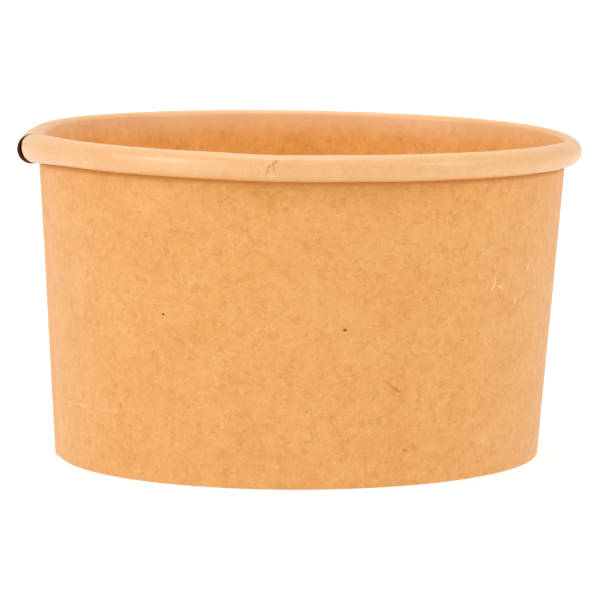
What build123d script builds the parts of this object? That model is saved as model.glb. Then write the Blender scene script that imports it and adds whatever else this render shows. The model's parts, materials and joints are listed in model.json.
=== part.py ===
from build123d import *
import os
from math import asin, atan2, cos, degrees, radians, sin, sqrt

# A paper ice cream tub in two pieces of kraft board. The side wall is one blank, lapped at a
# side seam, with its top edge rolled outwards and its bottom edge folded in round the flange
# of a stamped base disc.
# Z is the tub's axis and z = 0 is the plane that it stands on. Sizes are in millimetres,
# and directions round the tub are in degrees from +X towards +Y.

# Overall sizes, taken away from the side seam, where the wall is one board thick
rim_diameter = 87.0       # over the rolled rim
foot_diameter = 74.6
height = 50.0

# Side wall board and its side seam
wall_board = 0.35
seam_lap = 8.0            # width of the sealed overlap
inner_edge_at = 186.0     # direction of the blank's cut edge on the inside of the lap
easing = 6.0              # angle over which the wall steps out to the lap or back from it
easing_steps = 3

# Rolled rim
roll_diameter = 3.95      # from the roll's top to its underside
roll_depth = 2.85         # how far it stands out from the wall, level with its underside
roll_entry = 0.70         # mid-line radius of the tighter bend where the wall enters the roll
edge_gap = 0.05           # between the wall and the roll's cut edge, which ends against it

# Folded foot
fold_inside = 0.05        # inside radius of both corners of the fold
hem_clearance = 0.4       # between the hem's top edge and the bend of the base disc

# Base disc
base_board = 0.30
base_recess = 6.8         # underside of the disc, above the plane the tub stands on
base_bend = 0.40          # inside radius between the disc and its flange
flange_lift = 0.12        # between the flange's cut edge and the inside of the fold
seal_gap = 0.02           # sealing film on each side of the flange

# Values that follow from the driving dimensions
half_wall = wall_board / 2
half_base = base_board / 2
roll_radius = roll_diameter / 2 - half_wall
fold_radius = fold_inside + half_wall
hem_height = base_recess - base_bend - hem_clearance
slot_pitch = wall_board + base_board + 2 * seal_gap
mean_radius = (rim_diameter + foot_diameter) / 4
lap_angle = degrees(seam_lap / mean_radius)
outer_edge_at = inner_edge_at - lap_angle

# Centres of the fold's outer corner and of the roll, as (radius, z)
fold_centre = Vector(foot_diameter / 2 - half_wall - fold_radius, half_wall + fold_radius)
roll_centre = Vector(rim_diameter / 2 - half_wall - roll_radius, height - half_wall - roll_radius)


def wall_slope():
    """Angle between wall and axis: the wall's outside is tangent to the fold's outer corner."""
    neck = Vector(rim_diameter / 2 - roll_depth, height - roll_diameter)
    span = neck - fold_centre
    return degrees(atan2(span.X, span.Y) - asin((fold_radius + half_wall) / span.length))


slope = wall_slope()
rise = Vector(sin(radians(slope)), cos(radians(slope)))
outward = Vector(rise.Y, -rise.X)


def follow(start, direction, moves, left):
    """Lines and arcs along `moves`, kept `left` of the path that starts at `start`.

    A move is (length, 0) for a straight line or (radius, turn) for an arc.
    """
    point = start + direction.rotate(Axis.Z, 90) * left
    edges = []
    for size, turn in moves:
        if turn:
            radius = size - left if turn > 0 else size + left
            edge = JernArc(point, direction, radius, turn)
        else:
            edge = Line(point, point + direction * size)
        edges.append(edge)
        point = edge @ 1
        direction = edge % 1
    return edges


def board_section(left_side, right_side):
    """Face between the two sides of a board, standing in the XZ plane."""
    first_edge = Line(left_side[0] @ 0, right_side[0] @ 0)
    last_edge = Line(left_side[-1] @ 1, right_side[-1] @ 1)
    return Plane.XZ * make_face(left_side + [last_edge] + right_side + [first_edge])


def wall_sides(shift, growth, top, end_turn):
    """Food side and outer side of one layer of the wall, from the hem's edge to the roll's.

    `shift` moves the wall outwards and the hem inwards, `growth` widens the roll, `top` is the
    roll's highest level, and `end_turn` is how far its edge has turned past the underside.
    """
    radius = roll_radius + growth
    entry = roll_entry + growth
    reach = roll_reach + growth
    entry_rise = sqrt((radius - entry)**2 - (reach - entry)**2)
    entry_turn = degrees(atan2(entry_rise, reach - entry))
    flat = (slot_pitch + 2 * shift - 2 * fold_radius) / rise.Y
    outer_corner = fold_centre + Vector(shift / rise.Y, 0)
    inner_corner = outer_corner - Vector(flat, 0)
    hem_foot = inner_corner - outward * fold_radius
    hem_length = (hem_height - hem_foot.Y) / rise.Y
    wall_foot = outer_corner + outward * fold_radius
    roll_level = top - half_wall - radius
    wall_length = (roll_level - wall_foot.Y - outward.Y * reach) / rise.Y + entry_rise
    moves = [
        (hem_length, 0),
        (fold_radius, 90 + slope),
        (flat, 0),
        (fold_radius, 90 - slope),
        (wall_length, 0),
        (entry, -entry_turn),
        (radius, entry_turn - 270 - end_turn),
    ]
    hem_edge = hem_foot + rise * hem_length
    food_side = follow(hem_edge, -rise, moves, half_wall)
    outer_side = follow(hem_edge, -rise, moves, -half_wall)
    return food_side, outer_side


# Distance from the wall's mid-line to the roll's centre, and how far the roll's edge turns
# past the underside before it meets one layer of wall, or two
roll_reach = (roll_centre - fold_centre).dot(outward) - fold_radius
plain_end = degrees(asin((roll_reach - half_wall - edge_gap) / (roll_radius + half_wall)))
lap_end = degrees(asin((roll_reach - wall_board - edge_gap) / (roll_radius + wall_board)))

# Shapes of a layer as (shift, growth, top, end turn). In the lap the inner layer is the outer
# shell of the roll, flush on top with the rest of the rim, and the outer layer rolls up
# inside it.
plain = (0, 0, height, plain_end)
inner_layer = (0, half_wall, height, lap_end)
outer_layer = (wall_board, -half_wall, height - wall_board, lap_end)


def at_angle(section, angle):
    """The section, turned about the axis."""
    return Rot(0, 0, angle) * section


def swept(section, start, end):
    """The section revolved from one direction to another."""
    return revolve(at_angle(section, start), Axis.Z, end - start)


def eased(shape, start, end):
    """Board that changes from the plain shape at `start` to another shape at `end`."""
    sections = []
    for step in range(easing_steps + 1):
        share = step / easing_steps
        mixed = [a + (b - a) * share for a, b in zip(plain, shape)]
        section = board_section(*wall_sides(*mixed))
        sections.append(at_angle(section, start + (end - start) * share))
    return loft(sections, ruled=True)


def make_sidewall():
    """The wrapped blank: plain board most of the way round, and two layers at the lap."""
    plain_from = inner_edge_at + easing
    plain_to = outer_edge_at - easing + 360
    plain_run = swept(board_section(*wall_sides(*plain)), plain_from, plain_to)
    lap_food_side = wall_sides(*inner_layer)[0]
    lap_outer_side = wall_sides(*outer_layer)[1]
    lap = swept(board_section(lap_food_side, lap_outer_side), outer_edge_at, inner_edge_at)
    behind_lap = eased(inner_layer, outer_edge_at - easing, outer_edge_at)
    before_lap = eased(outer_layer, inner_edge_at + easing, inner_edge_at)
    return plain_run.fuse(lap, behind_lap, before_lap)


def make_base_disc():
    """The stamped disc, its edge turned down between the wall and the hem."""
    level = base_recess + half_base
    bend_radius = base_bend + half_base
    bend_level = level - bend_radius
    flange_offset = fold_radius - half_wall - seal_gap - half_base
    reach = flange_offset - bend_radius + (bend_level - fold_centre.Y) * rise.X
    disc_radius = fold_centre.X + reach / rise.Y
    flange_top = bend_level + bend_radius * outward.Y
    flange_length = (flange_top - wall_board - flange_lift) / rise.Y
    moves = [
        (disc_radius, 0),
        (bend_radius, -90 - slope),
        (flange_length, 0),
    ]
    start = Vector(0, level)
    direction = Vector(1, 0)
    food_side = follow(start, direction, moves, half_base)
    under_side = follow(start, direction, moves, -half_base)
    return revolve(board_section(food_side, under_side), Axis.Z, 360)


os.makedirs("parts", exist_ok=True)
export_step(make_sidewall(), "parts/sidewall.step")
export_step(make_base_disc(), "parts/base_disc.step")
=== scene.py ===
import json
from math import asin, atan2, cos, degrees, exp, hypot, pi, radians, sin, sqrt

import bmesh
import bpy
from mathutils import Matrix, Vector, noise


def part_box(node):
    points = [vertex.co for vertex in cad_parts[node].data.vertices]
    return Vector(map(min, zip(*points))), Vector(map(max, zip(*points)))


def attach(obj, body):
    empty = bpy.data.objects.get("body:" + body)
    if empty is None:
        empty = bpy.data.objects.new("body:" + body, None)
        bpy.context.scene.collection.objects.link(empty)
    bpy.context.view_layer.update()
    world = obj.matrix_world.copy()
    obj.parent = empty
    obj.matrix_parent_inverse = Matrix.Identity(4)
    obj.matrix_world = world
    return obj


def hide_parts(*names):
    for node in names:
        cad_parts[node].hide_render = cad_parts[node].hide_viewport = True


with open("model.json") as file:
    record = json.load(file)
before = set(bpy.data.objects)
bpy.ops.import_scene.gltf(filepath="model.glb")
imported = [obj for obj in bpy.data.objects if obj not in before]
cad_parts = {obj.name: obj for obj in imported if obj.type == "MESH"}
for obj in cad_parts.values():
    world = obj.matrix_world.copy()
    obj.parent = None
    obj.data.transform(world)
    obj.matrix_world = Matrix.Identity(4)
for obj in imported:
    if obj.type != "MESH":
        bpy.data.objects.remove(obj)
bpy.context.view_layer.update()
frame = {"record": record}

# A kraft board ice cream tub, in metres: one wrapped blank with a rolled rim and a folded
# foot, and a stamped base disc. Directions round the tub are in degrees from +X towards +Y,
# and the front is at 270.
MM = 0.001
FRONT = 270.0

# Sizes that the frame gives
MOUNTS = {mount["name"]: mount for mount in frame["record"]["mounts"]}
WALL_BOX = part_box("sidewall")
BASE_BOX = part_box("base_disc")
RIM_RADIUS = MOUNTS["lid_rim"]["dims"]["r_mm"] * MM
ROLL_SIZE = MOUNTS["lid_rim"]["dims"]["length_mm"] * MM
RING_RADIUS = MOUNTS["base_ring"]["pos_m"][0]
HEIGHT = WALL_BOX[1].z

# Board, roll and folded foot
BOARD = 0.35 * MM
NECK_RADIUS = 40.65 * MM     # outside of the wall, level with the underside of the roll
ENTRY_RADIUS = 0.70 * MM     # tighter bend where the wall enters the roll
EDGE_GAP = 0.05 * MM         # between the wall and the roll's own cut edge
SLOT_PITCH = 0.69 * MM       # from the wall's mid-line to the hem's, with the flange between
FOLD_RADIUS = 0.225 * MM
HEM_TOP = 6.0 * MM
RIBS = 120                   # knurled ribs pressed into the hem
RIB_DEPTH = 0.07 * MM

# Side seam
INNER_EDGE_AT = 186.0        # direction of the cut edge on the food side
LAP = 11.34                  # angle of the overlap
EASING = 6.0                 # angle over which the wall steps out to the lap
TOP_EASING = 1.0             # the same for the top of the roll
LAYER_GAP = 0.01 * MM
SQUEEZE = 0.12 * MM          # how much tighter the covered layer rolls than the one over it
ROLL_PROUD = 0.02 * MM       # how far the outer shell of the roll stands above the rest
EDGE_FLARE = 0.10 * MM       # how far its cut edge springs open

# Base disc
BASE_BOARD = 0.30 * MM
BASE_BEND = 0.55 * MM        # mid-line radius between the disc and its flange
FLANGE_LIFT = 0.04 * MM      # left free under the flange's cut edge

# Angles in degrees
TURN_STEP = 0.75             # from one column of the blank's grid to the next
FINE_STEP = 0.2              # the same at the cut edge and the pucker
CUT_ANGLE = 40               # corners sharper than this are shaded sharp

# The flat blank's own map: true to size at this radius, in a square of this side. The disc
# is mapped this share of the side below the blank's edge, clear of the marks and the roll.
SHEET_RADIUS = 40 * MM
SHEET_SPAN = 300 * MM
DISC_BELOW = 0.2

# The wrapped tub stands a little askew on its foot and isn't quite round, as such tubs do
LEAN = 0.817
RIM_TILT = 0.969
SIDE_SHIFT = 0.10 * MM
OVAL = 0.0012
OVAL_AT = 60.0

# Soft dents of the rim and the top of the wall, as (direction, width in degrees, depth)
SEAM_SAG = (186.0, 17.0, 1.50 * MM)      # of the roll's underside
SEAM_TOP_SAG = (181.0, 13.0, 0.95 * MM)  # of its top, where the roll has swelled
SEAM_PINCH = (180.33, 28.0, 0.50 * MM)   # of the wall, drawn in at the middle of the lap
GRIP_SAG = (4.0, 20.0, 0.30 * MM)        # where the rim has been pressed down
GRIP_PRESS = (4.0, 22.0, 0.30 * MM)      # and in

# The small pucker in the front of the rim, with the dip that it makes. Its creases have their
# ends as (along the rim, up round the roll) from its middle in millimetres, then their width
# and their depth
PUCKER_AT = 264.4
PUCKER_DIP = 0.20 * MM
PUCKER_SPREAD = 8.0          # degrees over which the dip fades away
PUCKER_CREASES = [
    ((-0.85, -0.55), (-0.55, 0.35), 0.17, 0.15),
    ((-0.55, 0.35), (0.45, 1.05), 0.16, 0.17),
    ((0.0, 0.75), (0.25, -0.15), 0.14, 0.15),
    ((0.10, 1.05), (0.75, 1.25), 0.15, 0.13),
    ((-0.85, -0.55), (-0.60, -1.40), 0.20, 0.10),
]


def smooth(share):
    """Eased share between 0 and 1."""
    share = min(1.0, max(0.0, share))
    return share * share * (3 - 2 * share)


def mix(a, b, share):
    """The value that far from a to b."""
    return a + (b - a) * share


def bell(distance, width):
    """1 at no distance, fading to 0 over about two widths."""
    return exp(-((distance / width) ** 2))


def apart(direction, other):
    """Angle between two directions, in degrees either way."""
    return (direction - other + 180) % 360 - 180


def dent(direction, middle, width, depth):
    """How deep a soft dent is at a direction round the tub."""
    return depth * bell(apart(direction, middle), width)


# ---------------------------------------------------------------- the board's path in section

ROLL_RADIUS = ROLL_SIZE / 2 - BOARD / 2
ROLL_CENTRE = Vector((RIM_RADIUS - ROLL_SIZE / 2, HEIGHT - ROLL_SIZE / 2))
FLAT = SLOT_PITCH - 2 * FOLD_RADIUS
FOLD_CENTRE = Vector((RING_RADIUS + FLAT / 2, BOARD / 2 + FOLD_RADIUS))


def wall_slope():
    """Angle between wall and axis: the wall's outside is tangent to the fold's outer corner."""
    span = Vector((NECK_RADIUS, HEIGHT - ROLL_SIZE)) - FOLD_CENTRE
    return atan2(span.x, span.y) - asin((FOLD_RADIUS + BOARD / 2) / span.length)


SLOPE = wall_slope()
RISE = Vector((sin(SLOPE), cos(SLOPE)))
OUTWARD = Vector((RISE.y, -RISE.x))
ROLL_REACH = (ROLL_CENTRE - FOLD_CENTRE).dot(OUTWARD) - FOLD_RADIUS

# Parts of the path and the steps that each is divided into
PARTS = [("hem", 4), ("inner fold", 4), ("flat", 1), ("outer fold", 4), ("wall", 12),
         ("entry", 4), ("roll", 36)]
STATIONS = [("hem", 0.0)]
for part_name, part_steps in PARTS:
    STATIONS += [(part_name, (step + 1) / part_steps) for step in range(part_steps)]
WALL_ROW = STATIONS.index(("outer fold", 1.0))
ROLL_ROW = STATIONS.index(("wall", 1.0))


def walk(start, heading, moves):
    """Points and headings along straight runs and arcs, given as (size, turn, steps)."""
    point = Vector(start)
    places = [(point.copy(), heading)]
    for size, turn, steps in moves:
        for _ in range(steps):
            step = 2 * size * sin(abs(turn) / steps / 2) if turn else size / steps
            heading += turn / steps / 2
            point += Vector((cos(heading), sin(heading))) * step
            heading += turn / steps / 2
            places.append((point.copy(), heading))
    return places


def section(shift, growth, top, end_turn):
    """The board's mid-line from the hem's edge to the edge that ends the roll.

    `shift` moves the wall outwards and the hem inwards, `growth` widens the roll, `top` is
    its highest level, and `end_turn` is how far its edge has turned past the underside.
    """
    radius = ROLL_RADIUS + growth
    entry = ENTRY_RADIUS + growth
    reach = ROLL_REACH + growth
    entry_rise = sqrt((radius - entry) ** 2 - (reach - entry) ** 2)
    entry_turn = atan2(entry_rise, reach - entry)
    flat = (SLOT_PITCH + 2 * shift - 2 * FOLD_RADIUS) / RISE.y
    outer_corner = FOLD_CENTRE + Vector((shift / RISE.y, 0))
    hem_foot = outer_corner - Vector((flat, 0)) - OUTWARD * FOLD_RADIUS
    hem_length = (HEM_TOP - hem_foot.y) / RISE.y
    wall_foot = outer_corner + OUTWARD * FOLD_RADIUS
    roll_level = top - BOARD / 2 - radius
    wall_length = (roll_level - wall_foot.y - OUTWARD.y * reach) / RISE.y + entry_rise
    sizes = [
        (hem_length, 0),
        (FOLD_RADIUS, pi / 2 + SLOPE),
        (flat, 0),
        (FOLD_RADIUS, pi / 2 - SLOPE),
        (wall_length, 0),
        (entry, -entry_turn),
        (radius, entry_turn - 3 * pi / 2 - end_turn),
    ]
    moves = [(*size, steps) for size, (_, steps) in zip(sizes, PARTS)]
    return walk(hem_foot + RISE * hem_length, -pi / 2 - SLOPE, moves)


def closing_turn(layers, growth):
    """How far the roll's edge turns past the underside before it meets layers of wall."""
    clear = ROLL_REACH + growth - (layers - 0.5) * BOARD - EDGE_GAP
    return asin(clear / (ROLL_RADIUS + growth + BOARD / 2))


# Shapes of a layer as (shift, growth, roll top, end turn): plain board, the lap's inner
# layer, which is the outer shell of the roll, and the lap's outer layer inside it
TIGHTER = -BOARD / 2 - SQUEEZE
PLAIN = (0, 0, HEIGHT, closing_turn(1, 0))
INNER = (0, BOARD / 2, HEIGHT + ROLL_PROUD, closing_turn(2, BOARD / 2))
OUTER = (BOARD + LAYER_GAP, TIGHTER, HEIGHT - BOARD, closing_turn(1, TIGHTER))
PLAIN_PATH = section(*PLAIN)
PLAIN_LENGTHS = [0.0]
for (before, _), (after, _) in zip(PLAIN_PATH, PLAIN_PATH[1:]):
    PLAIN_LENGTHS.append(PLAIN_LENGTHS[-1] + (after - before).length)


def layer_shape(turn):
    """Shape of the board at an angle along the blank, counted from its inner cut edge."""
    if turn < 180:
        share = smooth(1 - (turn - LAP) / EASING)
        return [mix(a, b, share) for a, b in zip(PLAIN, INNER)]
    share = smooth(1 - (360 - turn) / EASING)
    shape = [mix(a, b, share) for a, b in zip(PLAIN, OUTER)]
    # The top of the roll steps down in a shorter stretch than the rest
    shape[2] = mix(PLAIN[2], OUTER[2], smooth(1 - (360 - turn) / TOP_EASING))
    return shape


def turn_stations():
    """Angles along the blank: even steps, with finer ones at the cut edge and the pucker."""
    pucker = INNER_EDGE_AT + 360 - PUCKER_AT
    fine = [(0.0, 3.0), (pucker - 2.2, pucker + 2.2), (358.0, 360.4)]
    turns = [0.0]
    while turns[-1] < 360 + LAP - 1e-6:
        is_fine = any(low - 1e-6 <= turns[-1] < high for low, high in fine)
        turns.append(min(turns[-1] + (FINE_STEP if is_fine else TURN_STEP), 360 + LAP))
    return turns


# ------------------------------------------------------------- what the board has been through

def segment_distance(point, start, end):
    """Distance in the plane from a point to a straight stretch."""
    run = Vector(end) - Vector(start)
    away = Vector(point) - Vector(start)
    share = min(1.0, max(0.0, away.dot(run) / run.length_squared))
    return (away - run * share).length


def roll_relief(turn, facing):
    """How far the roll's outside stands off its true round, in metres.

    `facing` is the angle that the surface faces, in radians up from straight outwards.
    """
    along = radians(apart(INNER_EDGE_AT - turn, PUCKER_AT)) * RIM_RADIUS / MM
    around = facing * ROLL_SIZE / 2 / MM
    lift = 0.0
    if abs(along) < 3:
        for start, end, width, depth in PUCKER_CREASES:
            near = segment_distance((along, around), start, end)
            lift -= depth * bell(near, width)
            lift += 0.45 * depth * bell(near - 2.2 * width, width)
    spot = Vector((along / 5.0, around / 2.0, 3.7))
    lift += 0.045 * noise.noise(spot)
    lift += 0.025 * noise.noise(spot * 2.6)
    ends = smooth((2.6 - facing) * 3) * smooth((facing + 1.75) * 3)
    return lift * MM * ends


def edge_flare(turn, facing):
    """The cut edge of the outer shell springs open round the outside of the roll."""
    near_edge = smooth(1 - turn / 3.5)
    return EDGE_FLARE * near_edge * smooth((1.0 - facing) / 0.8)


def wall_relief(turn, share):
    """Shallow dents and waves of the straight wall."""
    angle = radians(turn)
    around = Vector((cos(angle), sin(angle), 0)) * 1.9
    wave = noise.noise(around + Vector((0, 0, share * 1.3)))
    small = noise.noise(around * 3 + Vector((5.2, 1.4, share * 3.5)))
    return (0.07 * wave + 0.02 * small) * MM * smooth(share * 4) * smooth((1 - share) * 4)


def hem_relief(turn, share):
    """Knurled ribs that press the hem against the flange."""
    ribs = 0.5 + 0.5 * cos(radians(turn) * RIBS)
    return RIB_DEPTH * ribs * smooth(share * 5) * smooth((1 - share) * 5)


def relief(turn, part, share, heading):
    """How far the board's food side is pushed out at a place on the blank."""
    if part in ("entry", "roll"):
        facing = heading + pi / 2
        return roll_relief(turn, facing) + edge_flare(turn, facing)
    if part == "wall":
        return wall_relief(turn, share)
    if part == "hem":
        return hem_relief(turn, share)
    return 0.0


def rim_dip(direction, up_roll):
    """The rim sags a little to the pucker and the grip, and more to the seam."""
    dip = PUCKER_DIP * exp(-abs(apart(direction, PUCKER_AT)) / PUCKER_SPREAD)
    dip += dent(direction, *GRIP_SAG)
    return dip + mix(dent(direction, *SEAM_SAG), dent(direction, *SEAM_TOP_SAG), smooth(up_roll))


def pinch_share(part, share):
    """How much of the pinch at the seam reaches a place on the blank: the roll springs back."""
    if part == "wall":
        return smooth(share)
    if part == "entry":
        return 1 - smooth(share)
    if part == "roll":
        return smooth((share - 0.85) / 0.15)
    return 0.0


def settle(point, pinched=0.0, gripped=0.0):
    """Moves a point of the true round tub to where the worn, slightly skewed one has it."""
    share = point.z / HEIGHT
    direction = degrees(atan2(point.y, point.x)) % 360
    oval = 1 + OVAL * cos(2 * radians(direction - OVAL_AT)) * share
    pressed_in = pinched * dent(direction, *SEAM_PINCH) + gripped * dent(direction, *GRIP_PRESS)
    narrowed = oval - pressed_in / RIM_RADIUS
    x = point.x * narrowed
    y = point.y * narrowed
    up_roll = (point.z - HEIGHT + ROLL_SIZE) / ROLL_SIZE
    z = point.z - rim_dip(direction, up_roll) * share**6
    x += z * sin(radians(LEAN)) + SIDE_SHIFT
    z -= x * sin(radians(RIM_TILT)) * share
    return Vector((x, y, z))


# ------------------------------------------------------------------------------ making meshes

def in_collection(name, mesh):
    """A new piece that shows the mesh."""
    piece = bpy.data.objects.new(name, mesh)
    bpy.context.scene.collection.objects.link(piece)
    return piece


def give_thickness(piece, thickness):
    """Solid board from a sheet: outer side and cut edges get the second and third finish."""
    shell = piece.modifiers.new("board", "SOLIDIFY")
    shell.thickness = thickness
    shell.offset = 0
    shell.use_even_offset = True
    shell.use_rim = True
    shell.material_offset = 1
    shell.material_offset_rim = 2
    evaluated = piece.evaluated_get(bpy.context.evaluated_depsgraph_get())
    solid = bpy.data.meshes.new_from_object(evaluated)
    piece.modifiers.clear()
    piece.data = solid
    solid.shade_smooth()
    solid.set_sharp_from_angle(angle=radians(CUT_ANGLE))


def wrapped_blank():
    """The flat blank's grid, wrapped, lapped, rolled at the rim and folded at the foot."""
    turns = turn_stations()
    columns = len(turns) - 1
    rows = len(STATIONS) - 1
    blank = bmesh.new()
    bmesh.ops.create_grid(blank, x_segments=columns, y_segments=rows, size=1)
    places = {}
    for vert in blank.verts:
        column = round((vert.co.x + 1) / 2 * columns)
        row = round((vert.co.y + 1) / 2 * rows)
        places[vert] = (column, row)
    sections = [section(*layer_shape(turn)) for turn in turns]
    for vert, (column, row) in places.items():
        turn = turns[column]
        part, share = STATIONS[row]
        point, heading = sections[column][row]
        food_side = Vector((-sin(heading), cos(heading)))
        point = point + food_side * relief(turn, part, share, heading)
        angle = radians(INNER_EDGE_AT - turn)
        vert.co = settle(
            Vector((point.x * cos(angle), point.x * sin(angle), point.y)),
            pinch_share(part, share),
            smooth(share * 5) if part == "roll" else 0.0,
        )

    sheet_map = blank.loops.layers.uv.new("sheet")
    for face in blank.faces:
        for loop in face.loops:
            column, row = places[loop.vert]
            along = radians(INNER_EDGE_AT + 360 - turns[column] - FRONT) * SHEET_RADIUS
            loop[sheet_map].uv = (0.5 + along / SHEET_SPAN, PLAIN_LENGTHS[row] / SHEET_SPAN)
    bmesh.ops.recalc_face_normals(blank, faces=blank.faces)
    return blank


def make_sidewall():
    """One blank of board, sealed inside and bare outside."""
    blank = wrapped_blank()
    mesh = bpy.data.meshes.new("kraft_sidewall")
    blank.to_mesh(mesh)
    blank.free()
    piece = in_collection("kraft_sidewall", mesh)
    for finish in (sealed_kraft(), bare_kraft(), cut_board()):
        mesh.materials.append(finish)
    give_thickness(piece, BOARD)
    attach(piece, "root")
    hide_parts("sidewall")
    return piece


def stamped_disc():
    """The disc with its flange turned down, spun from half a section."""
    level = BASE_BOX[1].z - BASE_BOARD / 2
    edge = BASE_BOX[1].x - BASE_BOARD / 2
    flange = level - BASE_BEND - BASE_BOX[0].z - FLANGE_LIFT
    runs = [(edge - BASE_BEND, 0, 16), (BASE_BEND, -pi / 2 - SLOPE, 5), (flange, 0, 4)]
    disc = bmesh.new()
    previous = disc.verts.new((0, 0, level))
    for point, _ in walk((0, level), 0, runs)[1:]:
        vert = disc.verts.new((point.x, 0, point.y))
        disc.edges.new((previous, vert))
        previous = vert
    bmesh.ops.spin(
        disc, geom=disc.verts[:] + disc.edges[:], cent=(0, 0, 0), axis=(0, 0, 1),
        angle=2 * pi, steps=200, use_merge=True,
    )
    bmesh.ops.remove_doubles(disc, verts=disc.verts, dist=0.001 * MM)
    for vert in disc.verts:
        out = hypot(vert.co.x, vert.co.y) / edge
        if vert.co.z > level - 0.01 * MM:
            vert.co.z += base_relief(vert.co, out)
        vert.co = settle(vert.co)
    sheet_map = disc.loops.layers.uv.new("sheet")
    for face in disc.faces:
        for loop in face.loops:
            place = loop.vert.co / SHEET_SPAN
            loop[sheet_map].uv = (0.5 + place.x, place.y - DISC_BELOW)
    bmesh.ops.recalc_face_normals(disc, faces=disc.faces)
    return disc


def make_base_disc():
    """The base, sealed on the food side and bare underneath."""
    disc = stamped_disc()
    mesh = bpy.data.meshes.new("kraft_base")
    disc.to_mesh(mesh)
    disc.free()
    piece = in_collection("kraft_base", mesh)
    for finish in (sealed_kraft(), bare_kraft(), cut_board()):
        mesh.materials.append(finish)
    give_thickness(piece, BASE_BOARD)
    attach(piece, "root")
    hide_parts("base_disc")
    return piece


def base_relief(point, out):
    """A shallow dome, a pressed ring near the edge and the board's own waves."""
    dome = 0.25 * (1 - out * out)
    ring = -0.12 * bell(out - 0.88, 0.025)
    wave = 0.06 * noise.noise(point / MM * 0.06)
    return (dome + ring + wave) * MM * smooth((1 - out) * 12)


# ---------------------------------------------------------------------------------- finishes

def add(tree, kind, inputs=None, **settings):
    """A node with its settings, its values and its links."""
    made = tree.nodes.new(kind)
    for name, value in settings.items():
        setattr(made, name, value)
    for name, value in (inputs or {}).items():
        if isinstance(value, bpy.types.NodeSocket):
            tree.links.new(value, made.inputs[name])
        else:
            made.inputs[name].default_value = value
    return made


def new_finish(name):
    """An empty material and its node tree."""
    material = bpy.data.materials.new(name)
    material.use_nodes = True
    tree = material.node_tree
    tree.nodes.clear()
    return material, tree


def sheet_coordinates(tree):
    """Places on the flat blank, in millimetres."""
    sheet = add(tree, "ShaderNodeUVMap", uv_map="sheet")
    scale = SHEET_SPAN / MM
    spread = add(tree, "ShaderNodeMapping", {"Vector": sheet.outputs[0], "Scale": (scale, scale, 1)})
    return spread.outputs[0]


def solid_coordinates(tree):
    """Places in space, in millimetres."""
    places = add(tree, "ShaderNodeTexCoord")
    spread = add(tree, "ShaderNodeMapping", {"Vector": places.outputs["Object"], "Scale": (1 / MM,) * 3})
    return spread.outputs[0]


def cloud(tree, places, scale, detail=2.0, roughness=0.5, distortion=0.0):
    """Cloudy noise, `scale` clouds to the millimetre."""
    inputs = {"Vector": places, "Scale": scale, "Detail": detail}
    return add(tree, "ShaderNodeTexNoise", {**inputs, "Roughness": roughness, "Distortion": distortion})


def ranged(tree, value, low, high, to_low=0.0, to_high=1.0):
    """The value's run from low to high as a run from to_low to to_high, held at both ends."""
    made = add(
        tree, "ShaderNodeMapRange",
        {"Value": value, "From Min": low, "From Max": high, "To Min": to_low, "To Max": to_high},
    )
    return made.outputs[0]


def maths(tree, operation, a, b=0.0):
    """One sum of two values or links."""
    made = add(tree, "ShaderNodeMath", {0: a, 1: b}, operation=operation)
    return made.outputs[0]


def blended(tree, share, a, b):
    """Colour a with a share of colour b."""
    made = add(tree, "ShaderNodeMix", data_type="RGBA", blend_type="MIX")
    for index, value in ((0, share), (6, a), (7, b)):
        if isinstance(value, bpy.types.NodeSocket):
            tree.links.new(value, made.inputs[index])
        else:
            made.inputs[index].default_value = value
    return made.outputs[2]


def fibre_lines(tree, places, scale, width, cover):
    """Short curved fibres: the borders between warped cells, broken up by a cloud."""
    warp = cloud(tree, places, scale * 0.9, 0.6)
    moved = add(
        tree, "ShaderNodeVectorMath", {0: warp.outputs["Color"], "Scale": 2.6 / scale},
        operation="SCALE",
    )
    bent = add(tree, "ShaderNodeVectorMath", {0: places, 1: moved.outputs[0]}, operation="ADD")
    cells = add(
        tree, "ShaderNodeTexVoronoi", {"Vector": bent.outputs[0], "Scale": scale},
        feature="DISTANCE_TO_EDGE",
    )
    lines = ranged(tree, cells.outputs["Distance"], 0.0, width, 1.0, 0.0)
    patches = cloud(tree, places, scale * 0.8, 1.0)
    shown = ranged(tree, patches.outputs[0], cover, cover + 0.08)
    return maths(tree, "MULTIPLY", lines, shown)


def stroke(tree, places, start, end, width):
    """A soft stroke between two places on the sheet, `width` wide, in millimetres."""
    run = Vector(end) - Vector(start)
    middle = (Vector(start) + Vector(end)) / 2
    local = add(
        tree, "ShaderNodeMapping",
        {"Vector": places, "Location": (*middle, 0), "Rotation": (0, 0, atan2(run.y, run.x)),
         "Scale": (run.length / 2 + width / 2, width / 2, 1)},
        vector_type="TEXTURE",
    )
    flat = add(tree, "ShaderNodeVectorMath", {0: local.outputs[0], 1: (1, 1, 0)}, operation="MULTIPLY")
    away = add(tree, "ShaderNodeVectorMath", {0: flat.outputs[0]}, operation="LENGTH")
    return ranged(tree, away.outputs["Value"], 0.55, 1.25, 1.0, 0.0)


def strokes(tree, places, ends_and_widths):
    """Several strokes as one layer."""
    layer = None
    for start, end, width in ends_and_widths:
        one = stroke(tree, places, start, end, width)
        layer = maths(tree, "MAXIMUM", layer, one) if layer else one
    return layer


def on_wall(along, level):
    """Place on the sheet of a spot on the wall: along from the front, up from the foot, in mm."""
    foot_length = PLAIN_LENGTHS[WALL_ROW] / MM
    foot_level = PLAIN_PATH[WALL_ROW][0].y / MM
    return SHEET_SPAN / MM / 2 + along, foot_length + (level - foot_level) / RISE.y


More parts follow.
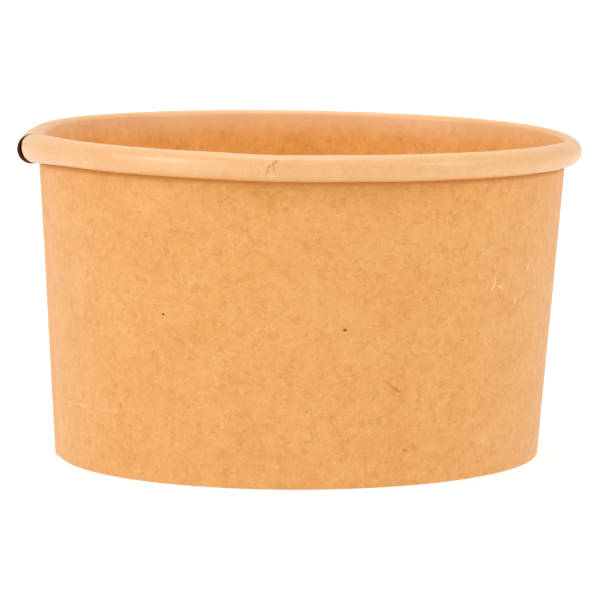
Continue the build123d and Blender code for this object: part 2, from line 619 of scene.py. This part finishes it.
def on_roll(along, around):
    """Place on the sheet of a spot near the pucker: along the rim, up round the roll, in mm."""
    x = SHEET_SPAN / MM / 2 + (radians(PUCKER_AT - FRONT) + along * MM / RIM_RADIUS) * SHEET_RADIUS / MM
    roll_from = STATIONS.index(("entry", 1.0))
    facing_from = PLAIN_PATH[roll_from][1] + pi / 2
    facing = around * MM / (ROLL_SIZE / 2)
    return x, (PLAIN_LENGTHS[roll_from] + (facing_from - facing) * ROLL_RADIUS) / MM


def kraft_colour(tree, places, tones):
    """Mottled kraft: broad clouds, swirls of pulp and fine grain. Also gives grain and swirls."""
    dark, middle, light = tones
    broad = cloud(tree, places, 0.13, 3.0, 0.55)
    swirls = cloud(tree, places, 0.55, 4.0, 0.6, 0.8)
    grain = cloud(tree, places, 2.0, 2.0, 0.6, 0.6)
    level = maths(tree, "MULTIPLY", broad.outputs[0], 1.1)
    level = maths(tree, "ADD", level, maths(tree, "MULTIPLY", swirls.outputs[0], 1.1))
    level = maths(tree, "ADD", level, maths(tree, "MULTIPLY", grain.outputs[0], 0.6))
    level = ranged(tree, level, 0.8, 2.0)
    ramp = add(tree, "ShaderNodeValToRGB", {"Fac": level})
    ramp.color_ramp.elements[0].color = (*dark, 1)
    ramp.color_ramp.elements[1].color = (*light, 1)
    between = ramp.color_ramp.elements.new(0.5)
    between.color = (*middle, 1)
    return ramp.outputs[0], grain.outputs[0], swirls.outputs[0]


def toned(middle, spread):
    """Darker, middle and lighter tone of a colour; blue, being weakest, varies most."""
    dark = [level * (1 - spread * more) for level, more in zip(middle, (0.5, 1.0, 2.1))]
    light = [level * (1 + spread * more) for level, more in zip(middle, (0.4, 1.0, 2.1))]
    return dark, middle, light


KRAFT_TONES = toned((0.782, 0.366, 0.100), 0.18)
SEALED_TONES = toned((0.865, 0.420, 0.094), 0.28)
# tone of the roll: flatter for its smooth film, and paler as painted light and gloss on the top of the
# rim
ROLL_LIT_TONE = (0.80, 0.455, 0.222, 1)
LIP_HIGHLIGHT = (0.94, 0.61, 0.32, 1)          # painted highlight along the roll's lip
DARK_FIBRE = (0.46, 0.155, 0.018, 1)
PALE_FIBRE = (0.90, 0.51, 0.20, 1)
PALE_SCUFF = (0.95, 0.70, 0.45, 1)
BROWN_MARK = (0.43, 0.130, 0.028, 1)
# painted shade along the pucker's creases
PUCKER_SHADE = (0.34, 0.14, 0.04, 1)
DARK_SPECK = (0.12, 0.026, 0.001, 1)
UNDER_ROLL_SHADE = (0.44, 0.135, 0.004, 1)   # painted shade in the crevice under the roll

# What this sheet carries, as (start, end, width) with places as (along from the front, up
# from the foot), all in millimetres
DARK_MARKS = [
    ((-21.7, 25.5), (-21.5, 25.5), 0.34),
    ((6.7, 24.0), (6.9, 24.0), 0.42),
]
BROWN_MARKS = [
    ((13.7, 16.0), (14.4, 15.4), 0.26),
    ((14.4, 15.4), (15.9, 14.4), 0.44),
    ((17.0, 5.6), (17.6, 5.4), 0.5),
    ((-31.0, 11.5), (-30.7, 10.5), 0.24),
]
PALE_MARKS = [
    ((33.0, 30.6), (33.1, 29.4), 0.30),
    ((33.0, 29.5), (32.4, 28.8), 0.36),
    ((33.8, 29.3), (34.9, 28.9), 0.38),
    ((41.6, 31.0), (42.3, 32.1), 0.30),
    ((38.6, 26.2), (38.7, 27.0), 0.34),
    ((44.7, 28.0), (45.1, 28.2), 0.40),
    ((-3.4, 3.5), (-3.2, 3.5), 0.36),
]
FAINT_CREASE = [
    ((-48.1, 9.7), (-38.0, 10.2), 0.34),
    ((-38.0, 10.1), (-31.1, 9.9), 0.30),
]
CREASE_SHADE = [
    ((-48.1, 10.2), (-38.0, 10.7), 0.50),
]

# Painted shade along the pucker's creases, and painted highlights on the roll's lumps beside it, with
# places as (along the rim, up round the roll) from the pucker's middle
PUCKER_SHADE_WIDTH = 0.20
PUCKER_SHADES = [
    ((-0.80, -0.60), (-0.72, 0.10)),
    ((-0.72, 0.10), (-0.25, 0.55)),
    ((-0.25, 0.55), (0.20, 1.00)),
    ((0.20, 1.00), (0.62, 1.22)),
    ((0.02, 0.70), (0.10, 0.10)),
    ((0.10, 0.10), (0.42, -0.25)),
    ((0.00, 1.10), (0.55, 1.45)),
]
ROLL_HIGHLIGHTS = [
    ((-24.0, 0.3), (-5.5, 0.1), 1.9),
    ((-4.8, 0.1), (-4.6, -0.6), 0.26),
    ((-4.1, 0.3), (-3.9, -0.3), 0.22),
    ((-3.5, 0.4), (-3.4, -0.4), 0.26),
    ((-2.9, 0.6), (-2.7, -0.2), 0.22),
    ((-2.3, 0.5), (-1.5, -0.2), 0.40),
    ((-1.0, -0.8), (0.2, -1.0), 0.50),
]


def wall_strokes(tree, places, marks):
    """Marks on the outside of the wall as one layer."""
    return strokes(tree, places, [(on_wall(*start), on_wall(*end), width) for start, end, width in marks])


def roll_strokes(tree, places, marks):
    """Marks round the roll as one layer."""
    return strokes(tree, places, [(on_roll(*start), on_roll(*end), width) for start, end, width in marks])


def under_roll_shade_share(tree, places):
    """Painted shade: a brown line close under the roll, with a faint band of it below round the front."""
    place = add(tree, "ShaderNodeSeparateXYZ", {"Vector": places})
    line = ranged(tree, place.outputs[1], on_wall(0, 45.0)[1], on_wall(0, 45.7)[1], 0.0, 0.50)
    band = ranged(tree, place.outputs[1], on_wall(0, 41.0)[1], on_wall(0, 45.2)[1], 0.0, 0.16)
    from_front = maths(tree, "ABSOLUTE", maths(tree, "SUBTRACT", place.outputs[0], on_wall(4, 0)[0]))
    near_front = ranged(tree, from_front, 10.0, 32.0, 1.0, 0.0)
    return maths(tree, "MAXIMUM", line, maths(tree, "MULTIPLY", band, near_front))


def bare_kraft():
    """Uncoated outside of the board: matt, fibrous and speckled."""
    if "bare_kraft" in bpy.data.materials:
        return bpy.data.materials["bare_kraft"]
    material, tree = new_finish("bare_kraft")
    places = sheet_coordinates(tree)
    colour, grain, swirls = kraft_colour(tree, places, KRAFT_TONES)
    dark_fibres = fibre_lines(tree, places, 0.50, 0.10, 0.50)
    fine_fibres = fibre_lines(tree, places, 1.0, 0.16, 0.50)
    pale_fibres = fibre_lines(tree, places, 0.72, 0.12, 0.50)
    colour = blended(tree, maths(tree, "MULTIPLY", dark_fibres, 0.24), colour, DARK_FIBRE)
    colour = blended(tree, maths(tree, "MULTIPLY", fine_fibres, 0.13), colour, DARK_FIBRE)
    colour = blended(tree, maths(tree, "MULTIPLY", pale_fibres, 0.36), colour, PALE_FIBRE)
    brown_marks = wall_strokes(tree, places, BROWN_MARKS)
    pale_marks = wall_strokes(tree, places, PALE_MARKS)
    dark_marks = wall_strokes(tree, places, DARK_MARKS)
    # painted shade under the roll's overhang, laid on as a brown line and a band
    under_roll_shade = under_roll_shade_share(tree, places)
    colour = blended(tree, under_roll_shade, colour, UNDER_ROLL_SHADE)
    crease = wall_strokes(tree, places, FAINT_CREASE)
    shade = wall_strokes(tree, places, CREASE_SHADE)
    for share, strength, tone in (
        (brown_marks, 0.50, BROWN_MARK),
        (shade, 0.12, DARK_FIBRE),
        (crease, 0.16, PALE_SCUFF),
        (pale_marks, 0.60, PALE_SCUFF),
        (dark_marks, 0.85, DARK_SPECK),
    ):
        colour = blended(tree, maths(tree, "MULTIPLY", share, strength), colour, tone)
    relief_level = maths(tree, "ADD", grain, maths(tree, "MULTIPLY", pale_fibres, 0.5))
    bump = add(tree, "ShaderNodeBump", {"Height": relief_level, "Strength": 0.08, "Distance": 0.03 * MM})
    rough = ranged(tree, swirls, 0.2, 0.8, 0.72, 0.88)
    # specular and sheen are lowered on the painted shade under the roll and on the marks
    shade_and_marks = maths(tree, "MAXIMUM", under_roll_shade, maths(tree, "MAXIMUM", dark_marks, brown_marks))
    shader = add(
        tree, "ShaderNodeBsdfPrincipled",
        {"Base Color": colour, "Roughness": rough, "Normal": bump.outputs[0],
         "Specular IOR Level": ranged(tree, shade_and_marks, 0.0, 0.6, 0.45, 0.05),
         "Sheen Weight": ranged(tree, shade_and_marks, 0.0, 0.6, 0.27, 0.0),
         "Sheen Roughness": 0.5, "Sheen Tint": (1.0, 0.95, 0.9, 1)},
    )
    add(tree, "ShaderNodeOutputMaterial", {"Surface": shader.outputs[0]})
    return material


def sealed_kraft():
    """Food side under its clear film, drawn tight over the roll. Painted light on it: the roll paler, a
    painted highlight along the roll's lip and on lumps beside the pucker, and painted shade along the
    pucker's creases.
    """
    if "sealed_kraft" in bpy.data.materials:
        return bpy.data.materials["sealed_kraft"]
    material, tree = new_finish("sealed_kraft")
    places = solid_coordinates(tree)
    sheet = sheet_coordinates(tree)
    up_blank = add(tree, "ShaderNodeSeparateXYZ", {"Vector": sheet}).outputs[1]
    roll_from = PLAIN_LENGTHS[ROLL_ROW] / MM
    rolled = ranged(tree, up_blank, roll_from - 3.0, roll_from + 1.5)
    # painted highlight along the roll's lip, strongest at the front and back
    lip_starts = ranged(tree, up_blank, roll_from - 3.8, roll_from - 0.4)
    lip_ends = ranged(tree, up_blank, roll_from + 1.2, roll_from + 2.8, 1.0, 0.0)
    lip = maths(tree, "MINIMUM", lip_starts, lip_ends)
    colour, grain, swirls = kraft_colour(tree, places, SEALED_TONES)
    fibres = fibre_lines(tree, places, 0.60, 0.11, 0.50)
    colour = blended(tree, maths(tree, "MULTIPLY", fibres, 0.30), colour, DARK_FIBRE)
    # the roll is toned flatter for its smooth film and paler as painted light from above
    lit_roll_colour = blended(tree, 0.42, ROLL_LIT_TONE, colour)
    colour = blended(tree, rolled, colour, lit_roll_colour)
    depth = add(tree, "ShaderNodeSeparateXYZ", {"Vector": places}).outputs[1]
    front_and_back = ranged(tree, maths(tree, "ABSOLUTE", depth), 10.0, 34.0, 0.10, 0.48)
    colour = blended(tree, maths(tree, "MULTIPLY", lip, front_and_back), colour, LIP_HIGHLIGHT)
    # painted highlights on the roll's lumps and ripples left of the pucker
    roll_highlights = roll_strokes(tree, sheet, ROLL_HIGHLIGHTS)
    colour = blended(tree, maths(tree, "MULTIPLY", roll_highlights, 0.30), colour, LIP_HIGHLIGHT)
    # painted shade along the pucker's creases, which also deepens them in the bump
    creases = roll_strokes(tree, sheet, [(*ends, PUCKER_SHADE_WIDTH) for ends in PUCKER_SHADES])
    colour = blended(tree, maths(tree, "MULTIPLY", creases, 0.30), colour, PUCKER_SHADE)
    height = maths(tree, "SUBTRACT", grain, maths(tree, "MULTIPLY", creases, 1.5))
    bump = add(tree, "ShaderNodeBump", {"Height": height, "Strength": 0.12, "Distance": 0.03 * MM})
    rough = ranged(tree, swirls, 0.2, 0.8, 0.36, 0.50)
    shader = add(
        tree, "ShaderNodeBsdfPrincipled",
        {"Base Color": colour, "Roughness": rough, "Normal": bump.outputs[0],
         "Coat Weight": maths(tree, "MULTIPLY", rolled, 0.60), "Coat Roughness": 0.30},
    )
    add(tree, "ShaderNodeOutputMaterial", {"Surface": shader.outputs[0]})
    return material


def cut_board():
    """Raw cut edges: brown board, with near-black painted shade on the roll for the gaps that its cut
    edges sit in.
    """
    if "cut_board" in bpy.data.materials:
        return bpy.data.materials["cut_board"]
    material, tree = new_finish("cut_board")
    places = solid_coordinates(tree)
    up_blank = add(tree, "ShaderNodeSeparateXYZ", {"Vector": sheet_coordinates(tree)}).outputs[1]
    roll_from = PLAIN_LENGTHS[ROLL_ROW] / MM
    # painted shade: the cut edges on the roll are darkened to near-black
    gap_shade_share = ranged(tree, up_blank, roll_from - 1.0, roll_from + 0.5)
    layers = cloud(tree, places, 4.0, 3.0)
    plain = blended(tree, layers.outputs[0], (0.38, 0.150, 0.045, 1), (0.62, 0.280, 0.090, 1))
    gap_shade_tone = blended(tree, layers.outputs[0], (0.050, 0.013, 0.002, 1), (0.120, 0.036, 0.006, 1))
    colour = blended(tree, gap_shade_share, plain, gap_shade_tone)
    height = layers.outputs[0]
    bump = add(tree, "ShaderNodeBump", {"Height": height, "Strength": 0.3, "Distance": 0.05 * MM})
    shader = add(
        tree, "ShaderNodeBsdfPrincipled",
        {"Base Color": colour, "Roughness": 0.9, "Specular IOR Level": 0.1, "Normal": bump.outputs[0]},
    )
    add(tree, "ShaderNodeOutputMaterial", {"Surface": shader.outputs[0]})
    return material


# ----------------------------------------------------------------------- floor, light, camera

FLOOR_DROP = 0.02 * MM       # below the foot, so that no two faces share a plane
LIGHTS_AIM = Vector((0, 0, 0.03))
CAMERA_RISE = 6.80           # degrees above the level of the tub's middle
CAMERA_DISTANCE = 0.6726


def make_floor():
    """A pale floor that lights itself a little, so that it runs on into the background."""
    mesh = bpy.data.meshes.new("floor")
    ground = bmesh.new()
    bmesh.ops.create_circle(ground, cap_ends=True, segments=96, radius=4.0)
    ground.to_mesh(mesh)
    ground.free()
    floor = in_collection("floor", mesh)
    floor.location.z = -FLOOR_DROP
    material, tree = new_finish("pale_floor")
    shader = add(
        tree, "ShaderNodeBsdfPrincipled",
        {"Base Color": (0.30, 0.30, 0.30, 1), "Roughness": 0.9,
         "Emission Color": (1, 1, 1, 1), "Emission Strength": 0.76},
    )
    add(tree, "ShaderNodeOutputMaterial", {"Surface": shader.outputs[0]})
    mesh.materials.append(material)


def make_light(name, place, size, power):
    """A round white soft box that points at the middle of the tub."""
    lamp = bpy.data.lights.new(name, "AREA")
    lamp.shape = "DISK"
    lamp.size = size
    lamp.energy = power
    light = bpy.data.objects.new(name, lamp)
    bpy.context.scene.collection.objects.link(light)
    light.location = place
    light.rotation_euler = (LIGHTS_AIM - Vector(place)).to_track_quat("-Z", "Y").to_euler()


def make_lights():
    """An even white studio, a light overhead and one to each side, the left one stronger."""
    world = bpy.data.worlds.new("studio")
    world.use_nodes = True
    world.node_tree.nodes["Background"].inputs["Color"].default_value = (1, 1, 1, 1)
    world.node_tree.nodes["Background"].inputs["Strength"].default_value = 0.80
    bpy.context.scene.world = world
    make_light("overhead", (0.0, 0.10, 0.9), 0.6, 1.5)
    make_light("left", (-0.88, -0.46, 0.55), 0.5, 2.9)
    make_light("right", (0.88, -0.46, 0.55), 0.5, 1.8)


def make_camera():
    """A long lens a little above the rim's level, straight on."""
    data = bpy.data.cameras.new("camera")
    data.sensor_width = 36
    data.lens = 260.1
    data.shift_x = 0.0053
    data.shift_y = -0.0139
    camera = bpy.data.objects.new("camera", data)
    bpy.context.scene.collection.objects.link(camera)
    rise = radians(CAMERA_RISE)
    aim = Vector((0, 0, HEIGHT / 2))
    back = Vector((0, -cos(rise), sin(rise)))
    camera.location = aim + back * CAMERA_DISTANCE
    camera.rotation_euler = (-back).to_track_quat("-Z", "Y").to_euler()
    bpy.context.scene.camera = camera


bpy.context.scene.view_settings.view_transform = "Standard"
make_sidewall()
make_base_disc()
make_floor()
make_lights()
make_camera()
